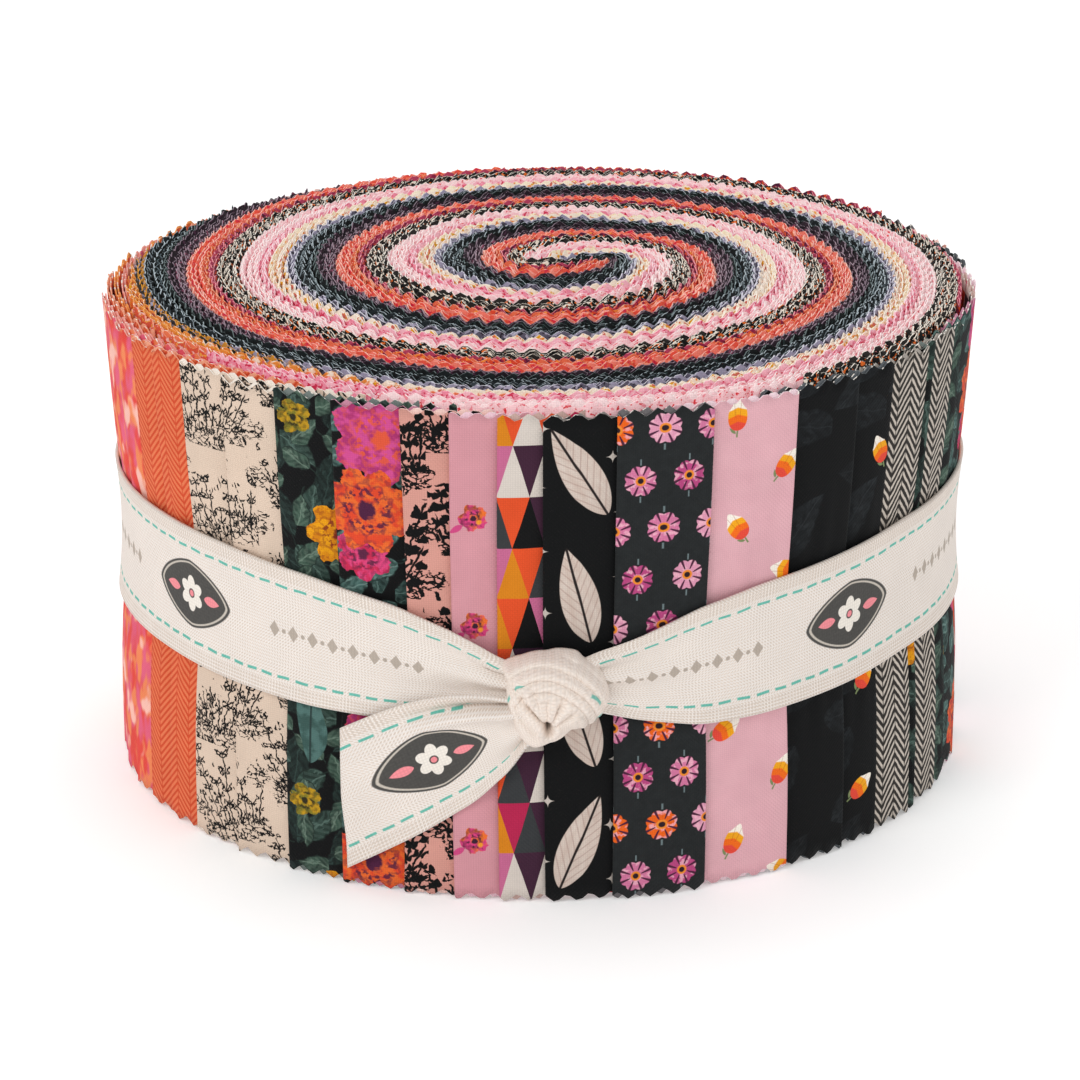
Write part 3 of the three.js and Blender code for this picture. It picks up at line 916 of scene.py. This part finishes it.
# The tie. One flat cotton tape, twill-woven, printed and edged with teal stitches. It goes once round
# the roll's middle, and is gathered into small pleats where it is drawn into its knot at the front.
TAPE, TAPE_WIDTH = 0.45, 17.5
TAPE_THREAD = 0.42
BAND_OUT = 1.12  # the band's middle surface, out from the roll's side
KNOT_AZIMUTH, KNOT_HEIGHT, KNOT_OUT = math.radians(1.7), 27.6, 2.1
BAND_START = math.radians(2.4) * ROLL_RADIUS  # from the knot's middle, inside the knot
BAND_ROUND = 2 * math.pi * ROLL_RADIUS
GATHERED_TO = 34  # along the tape, where its columns and rows lie closer
BAND_EDGES_RIGHT = np.array([  # degrees from the knot, heights of the lower and the upper edge
    (2.4, 27.2, 31.5), (6.0, 25.4, 33.0), (10.6, 23.9, 34.3), (18.8, 22.2, 37.2), (27.3, 22.0, 38.8),
    (42.8, 22.6, 40.2), (54.0, 23.4, 41.2), (180.0, 23.4, 41.0)])
BAND_EDGES_LEFT = np.array([
    (2.4, 26.6, 30.5), (7.2, 25.3, 32.3), (9.7, 24.8, 33.8), (13.2, 24.2, 35.4), (20.2, 23.0, 37.8),
    (32.0, 22.8, 39.7), (47.0, 23.2, 41.0), (60.0, 23.5, 41.4), (180.0, 23.4, 41.0)])
PLEATS, PLEAT_DEPTH, PLEAT_REACH = 3.2, 1.1, 11.0
PLEAT_SLANT = 0.012
FAN_FOLDS, FAN_DEPTH, FAN_AT, FAN_REACH = 2.2, 0.22, 14, 11  # where the pleats open out, in degrees
CREASE_DEPTH, CREASE_NARROW = 0.5, 0.06
RIGHT_CREASE, LEFT_CREASE = (0.42, 12), (0.3, 17)  # share of the width, degrees that it runs
STANDS_OFF, STANDS_OFF_REACH = 1.5, 6  # the band, where it goes up to the knot
SLACK, CURL = 0.12, 0.1
MOTIF_PITCH, FIRST_MOTIF = 50.8, 41.5  # along the tape, from one medallion to the next
LAST_MOTIF_END = 320
LOZENGE_LONG, LOZENGE_TALL = 7.7, 4.4  # half the medallion's size
SMALL_PITCH = 2.9  # from one small diamond to the next
DIAMONDS_REACH, DOTS_REACH = 11.6, 9.4  # from the middle between two medallions
STITCH_PITCH, STITCH_LONG, STITCH_THICK, STITCH_IN = 2.55, 1.68, 0.38, 2.6
RIB_RUN, RIB_PITCH = 2.1, 1.45  # how far across the twill's ribs slant before they turn back
PINHOLES, EYELETS, SELVEDGE = (0.44, 0.42), (0.5, 0.45), 1.9  # the tape's holes, and its edges' width
TAIL_MOTIF = 16.0  # from the knot to the middle of the tail's medallion
TUCKED_UNDER = 10.5  # from the knot, how far the tail's upper stitches are hidden in its fold
STITCH_TEAL = ("#2FA493", "#63C1B0")


def gently(at, places, values, reach):
    """Between a row of values, with the corners at each of them rounded."""
    steps = np.linspace(-reach, reach, 7)
    return sum(np.interp(at + step, places, values) for step in steps) / len(steps)


def band_lie(flat_along, flat_across):
    from_right = np.degrees(flat_along / ROLL_RADIUS)
    left = from_right > 180
    degrees = np.minimum(from_right, 360 - from_right)
    reach = 1.5 * np.clip(degrees / 20, 0, 1) + 0.01
    low, high = 0, 0
    for edges, here in ((BAND_EDGES_RIGHT, ~left), (BAND_EDGES_LEFT, left)):
        low = low + here * gently(degrees, edges[:, 0], edges[:, 1], reach)
        high = high + here * gently(degrees, edges[:, 0], edges[:, 2], reach)
    share = flat_across / TAPE_WIDTH
    gather = hump(degrees, PLEAT_REACH)
    folds = 2 * math.pi * PLEATS * share
    pleats = PLEAT_DEPTH * gather * (0.5 + 0.5 * np.cos(folds + 1.4))
    fan = FAN_DEPTH * hump(degrees - FAN_AT, FAN_REACH) * np.sin(2 * math.pi * FAN_FOLDS * share + 0.6)
    crease_at, crease_long = [np.where(left, *pair) for pair in zip(LEFT_CREASE, RIGHT_CREASE)]
    crease = CREASE_DEPTH * hump(share - crease_at, CREASE_NARROW) * np.exp(-degrees / crease_long)
    off = STANDS_OFF * np.exp(-degrees / STANDS_OFF_REACH)
    slack = SLACK * np.sin(flat_along / 9) * np.sin(flat_along / 23 + 2 * share)
    curled = CURL * (2 * share - 1) ** 4
    azimuth = KNOT_AZIMUTH + flat_along / ROLL_RADIUS
    azimuth = azimuth - np.where(left, -1, 1) * PLEAT_SLANT * gather * np.cos(folds)
    out = BAND_OUT + pleats + fan - crease + off + slack + curled
    return on_side(azimuth, low + (high - low) * share, out)


def straight_rows(count):
    rows = np.linspace(0, TAPE_WIDTH, count)
    return lambda columns: np.tile(rows, (len(columns), 1))


def tape_cloth(name, printed, crosswise=False, stitched=True):
    """Cream twill tape: slanting ribs with pinholes, open-work selvedges, teal stitches, and the print,
    which is a dark lozenge with a pale flower, and small taupe diamonds between one and the next."""
    def painted(along, across):
        if crosswise:
            along, across = across, along
        slant = across.zigzag(RIB_RUN) + along
        holes = woven(slant, across, *PINHOLES).size()
        colour = inked("#EFE8E2", holes - 0.5, 0.3, "#D3C3B5", 0.9)
        ribs = ((slant * (2 * math.pi / RIB_PITCH)).sine() * 0.5 + 0.5) * 0.22
        colour = overprint(ribs, colour, "#E3D8CE")
        from_edge = TAPE_WIDTH / 2 - (across - TAPE_WIDTH / 2).size()
        eyelets = (woven(along, from_edge, *EYELETS).size() - 0.5).filled(0.25)
        colour = overprint(eyelets * (SELVEDGE - from_edge).filled(0.2) * 0.75, colour, "#CFC0B2")
        if printed:
            colour = tape_print(colour, along, across)
        if stitched:
            wander = (along * 1.3).sine() * 0.05
            from_stitch = (along + (along * 0.37).sine() * 0.3).within(STITCH_PITCH).size()
            from_row = (from_edge - STITCH_IN + wander).size()
            stitch = (STITCH_LONG / 2 - from_stitch).least(STITCH_THICK / 2 - from_row)
            if crosswise:
                hidden_to = FIRST_MOTIF - TAIL_MOTIF + TUCKED_UNDER
                stitch = stitch.least((along - hidden_to).most(TAPE_WIDTH / 2 - across))
            teal = overprint(clouds(along, across, 0.5, 6), *STITCH_TEAL)
            colour = inked(colour, stitch, 0.07, teal, 0.92)
        return colour

    return cotton(name, painted, thread=TAPE_THREAD, unevenness=0.1)


def tape_print(colour, along, across):
    u = (along - FIRST_MOTIF + MOTIF_PITCH / 2).within(MOTIF_PITCH)
    v = across - TAPE_WIDTH / 2
    lozenge = 1 - (u / LOZENGE_LONG).size().power(1.5) - (v / LOZENGE_TALL).size().power(1.5)
    lozenge = lozenge.least(LAST_MOTIF_END - along)
    grey = overprint(clouds(along, across, 0.4, 3), "#454442", "#565451")
    colour = inked(colour, lozenge, 0.025, grey)
    outline = 0.035 - (lozenge - 0.13).size()
    colour = inked(colour, outline, 0.02, "#CFC6BA", 0.9)
    far = away(u, v)
    flower = petals(u, v, 6, 2.35, 0.8).least(far - 0.62)
    colour = inked(colour, flower, 0.05, "#EDE6DC")
    colour = inked(colour, 0.42 - far, 0.05, "#EF8F96")
    for side in (-1, 1):
        blade = (leaf(v * side, u * side - 2.6, 3.2, 1.5) - 0.07).least(lozenge - 0.2)
        colour = inked(colour, blade, 0.05, "#EF8F96")
    row = (along - FIRST_MOTIF).within(MOTIF_PITCH)
    diamonds = (0.78 - row.within(SMALL_PITCH).size() - v.size() * 0.72).filled(0.05)
    colour = overprint(diamonds * (DIAMONDS_REACH - row.size()).filled(0.02) * 0.85, colour, "#A99C8F")
    dots = (0.3 - away((row + SMALL_PITCH / 2).within(SMALL_PITCH), v)).filled(0.05)
    return overprint(dots * (DOTS_REACH - row.size()).filled(0.02) * 0.85, colour, "#A99C8F")


printed_tape = tape_cloth("tape_print", True)
plain_tape = tape_cloth("tape_plain", False)
bare_tape = tape_cloth("tape_bare", False, stitched=False)
gathered = np.linspace(BAND_START, GATHERED_TO, 60)
even = np.linspace(GATHERED_TO, BAND_ROUND - GATHERED_TO, 130)
band_columns = np.concatenate([gathered[:-1], even, BAND_ROUND - gathered[::-1][1:]])
band = lay_cloth("ribbon_band", band_columns, straight_rows(34), band_lie,
                 [printed_tape, plain_tape, plain_tape], TAPE)
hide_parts("ribbon")

# The tape's free end. It leaves the knot at the lower left, opens out to its full width, and lies over
# the band's lower edge on the roll's side. It is cut off at a slant. Near the knot it is folded
# lengthwise under its upper stitches, so that its edge stands up behind a ridge.
TAIL_LOW = np.array([  # share of the way from the knot, degrees round to the left, height
    (0, 0.6, 24.0), (0.09, -1.7, 21.6), (0.2, -3.6, 18.0), (0.4, -7.8, 13.6), (0.66, -14.6, 8.9),
    (1, -25.3, 2.3)])
TAIL_HIGH = np.array([
    (0, -1.0, 27.4), (0.16, -3.9, 27.6), (0.33, -7.6, 27.8), (0.5, -11.5, 27.4), (0.68, -16.0, 26.1),
    (0.84, -20.8, 23.8), (1, -26.0, 20.9)])
TAIL_LOW_LONG, TAIL_HIGH_LONG = 31.5, 24.0  # the lengths of its two edges
TAIL_OUT, OVER_BAND_OUT, AT_KNOT_OUT = 0.95, 1.05, 2.7
TAIL_FOLD_AT, TAIL_FOLD_REACH = 7, 9  # from the knot
TAIL_FOLD = [(1.5, 0.79, 0.055), (-1.4, 0.875, 0.045)]  # ridge and valley: height, place, reach
TAIL_BOW = 0.5


def tail_long(up):
    return TAIL_LOW_LONG + (TAIL_HIGH_LONG - TAIL_LOW_LONG) * up


def tail_lie(flat_along, from_knot):
    up = flat_along / TAPE_WIDTH
    share = from_knot / tail_long(up)
    low = [gently(share, TAIL_LOW[:, 0], TAIL_LOW[:, i], 0.05) for i in (1, 2)]
    high = [gently(share, TAIL_HIGH[:, 0], TAIL_HIGH[:, i], 0.05) for i in (1, 2)]
    degrees, height = [lower + (higher - lower) * up for lower, higher in zip(low, high)]
    height = height + TAIL_BOW * np.sin(math.pi * up) * np.sin(math.pi * share)
    out = TAIL_OUT + OVER_BAND_OUT * eased((up - 0.12) / 0.45) + AT_KNOT_OUT * np.exp(-from_knot / 5)
    out = out + 0.6 * hump(from_knot, 6) * np.cos(2 * math.pi * 2.6 * up + 0.5)
    fold = 0.7 * np.clip((up - 0.91) / 0.09, 0, 1)
    for high, at, reach in TAIL_FOLD:
        fold = fold + high * hump(up - at, reach)
    out = out + fold * hump(from_knot - TAIL_FOLD_AT, TAIL_FOLD_REACH)
    out = out + 0.35 * hump(from_knot - 12, 7) * hump(up - 0.55, 0.25)
    out = out + 0.5 * share ** 3 * (1 - up) + 0.14 * np.sin(from_knot / 3.1 + 3 * up)
    return on_side(np.radians(degrees), height, out, drawn_in=0.7)


def tail_rows(columns):
    return np.linspace(np.zeros(len(columns)), tail_long(columns / TAPE_WIDTH), 64, axis=1)


tail_tape = tape_cloth("tail_print", True, crosswise=True)
plain_tail_tape = tape_cloth("tail_plain", False, crosswise=True)
tail = lay_cloth("ribbon_tail", np.linspace(0, TAPE_WIDTH, 60), tail_rows, tail_lie,
                 [tail_tape, plain_tail_tape, bare_tape], TAPE, (0, TAIL_MOTIF - FIRST_MOTIF))

# The knot. One end of the tape is wrapped over the other, tucked under itself and drawn tight, so that
# its pleats run round the tuck, and the first wrap shows as a flap along the lower left.
KNOT_OUTLINE = np.array([  # degrees anticlockwise from the right, how far the knot reaches
    (0, 6.5), (7, 6.5), (32, 6.3), (55, 5.9), (64, 6.3), (98, 5.8), (126, 6.4), (146, 7.4), (158, 5.9),
    (176, 5.6), (203, 5.4), (237, 6.4), (246, 6.4), (262, 5.3), (300, 4.3), (330, 5.4), (348, 6.3),
    (360, 6.5)])
KNOT_DEPTH = 5.2
KNOT_WRAP = 15.0  # as much of the tape as shows on the knot
KNOT_CLOTH = 0.3
TUCK = (-0.8, -2.9)
TUCK_DEPTHS = [(1.3, 0.8), (0.9, 2.4)]  # and their reach
CREASES = [  # from the tuck to (right, up), how deep
    (-5.0, 2.6, 1.1), (-3.0, 3.6, 0.6), (-1.0, 1.9, 0.9), (1.2, 2.2, 0.85), (3.4, 0.6, 0.55)]
WRAP_PITCH, WRAP_DEPTH = 1.15, 0.62  # of the pleats round the tuck
FLAP = [(-6.6, 4.6), (-5.0, 0.2), (-4.2, -1.9), (-2.4, -3.7), (0.3, -4.4), (3.2, -4.2)]
FLAP_STEP, FLAP_EDGE = 1.0, 0.13
BACKWARD, BACKWARD_MOST = 0.012, 0.5  # the knot bends back at its sides, round the roll


def from_line(x, y, start, end):
    """How far places are from a straight line, and how far along it they are, from 0 to 1."""
    run_x, run_y = end[0] - start[0], end[1] - start[1]
    share = ((x - start[0]) * run_x + (y - start[1]) * run_y) / (run_x ** 2 + run_y ** 2)
    share = np.clip(share, 0, 1)
    return np.hypot(x - start[0] - share * run_x, y - start[1] - share * run_y), share


def knot_lie(flat_along, flat_across):
    across = 2 * flat_along / KNOT_WRAP - 1
    up = 2 * flat_across / TAPE_WIDTH - 1
    reach = np.maximum(np.abs(across), np.abs(up))
    degrees = np.degrees(np.arctan2(up, across)) % 360
    angle = np.radians(degrees)
    outline = gently(degrees, KNOT_OUTLINE[:, 0], KNOT_OUTLINE[:, 1], 3)
    far = outline * np.sin(reach * math.pi / 2 * 0.98) ** 0.9
    x, y = far * np.cos(angle), far * np.sin(angle)
    rise = KNOT_DEPTH * np.cos(reach * math.pi / 2) ** 0.75
    inside = np.clip((1 - reach) / 0.25, 0, 1)
    from_tuck = np.hypot(x - TUCK[0], (y - TUCK[1]) * 0.9)
    for deep, tuck_reach in TUCK_DEPTHS:
        rise = rise - deep * hump(from_tuck, tuck_reach)
    for crease_x, crease_y, deep in CREASES:
        off, share = from_line(x, y, TUCK, (crease_x, crease_y))
        rise = rise - deep * hump(off, 0.22 + 0.25 * share) * (1 - share ** 3)
        rise = rise + 0.45 * deep * hump(off - 0.9, 0.5) * (1 - share ** 2)
    over = np.clip((y + x * 0.4 + 3.0) / 1.5, 0, 1) * np.clip((from_tuck - 3.2) / 1.2, 0, 1)
    pleats = np.abs(np.sin(math.pi * from_tuck / WRAP_PITCH + 0.5 * np.sin(angle * 2)))
    rise = rise + WRAP_DEPTH * pleats * over * (0.35 + 0.65 * inside)
    nearest = np.full(len(x), 99.0)
    for start, end in zip(FLAP[:-1], FLAP[1:]):
        off, share = from_line(x, y, start, end)
        turned = (end[0] - start[0]) * (y - start[1]) - (end[1] - start[1]) * (x - start[0])
        nearest = np.where(off < np.abs(nearest), np.where(turned > 0, off, -off), nearest)
    flap = FLAP_STEP / (1 + np.exp(nearest / FLAP_EDGE))
    rise = rise + flap * np.clip(reach * 3 - 1, 0, 1) * inside
    out = ROLL_RADIUS + out_of_round(KNOT_AZIMUTH) + WAIST + KNOT_OUT + rise
    depth = out - np.minimum(BACKWARD * x ** 2, BACKWARD_MOST)
    cosine, sine = math.cos(KNOT_AZIMUTH), math.sin(KNOT_AZIMUTH)
    return np.stack([depth * sine + x * cosine, -depth * cosine + x * sine, KNOT_HEIGHT + y], axis=1)


def drawn_tight(along, across):
    """The knot's tape, with a warmer and darker cream than the band's as painted shade of its pleats and
    creases, its pinholes drawn closed and tinted peach as painted crease shade, and a few of its teal
    stitches.
    """
    x = (along - KNOT_WRAP / 2) * 0.85
    y = (across - TAPE_WIDTH / 2) * 0.75
    far = away(x - TUCK[0], y - TUCK[1])
    around = round_about(x - TUCK[0], y - TUCK[1]) * 3.5
    holes = woven(far, around, 0.42, 0.42).size() - 0.6
    # painted shade: this cream is darker and warmer than the band's, and the pinhole marks are tinted peach
    # for the shade in the creases round the tuck
    colour = inked("#ECE0D6", holes, 0.25, "#D6C0AD", 0.28)
    stitch = (0.16 - (far - 5.6).size()).least(0.42 - around.within(1.6).size()).least(x.size() - 2.6)
    return inked(colour, stitch, 0.07, "#5BBBAC", 0.85)


KNOT_ROWS = 97
# the knot's material carries painted crease shade in its colour
knot_tape_painted_shade = cotton("knot_tape_painted_shade", drawn_tight, thread=TAPE_THREAD, unevenness=0.1)
knot_columns = np.linspace(0, KNOT_WRAP, KNOT_ROWS)
knot = lay_cloth("ribbon_knot", knot_columns, straight_rows(KNOT_ROWS), knot_lie,
                 [knot_tape_painted_shade, bare_tape, bare_tape], KNOT_CLOTH)
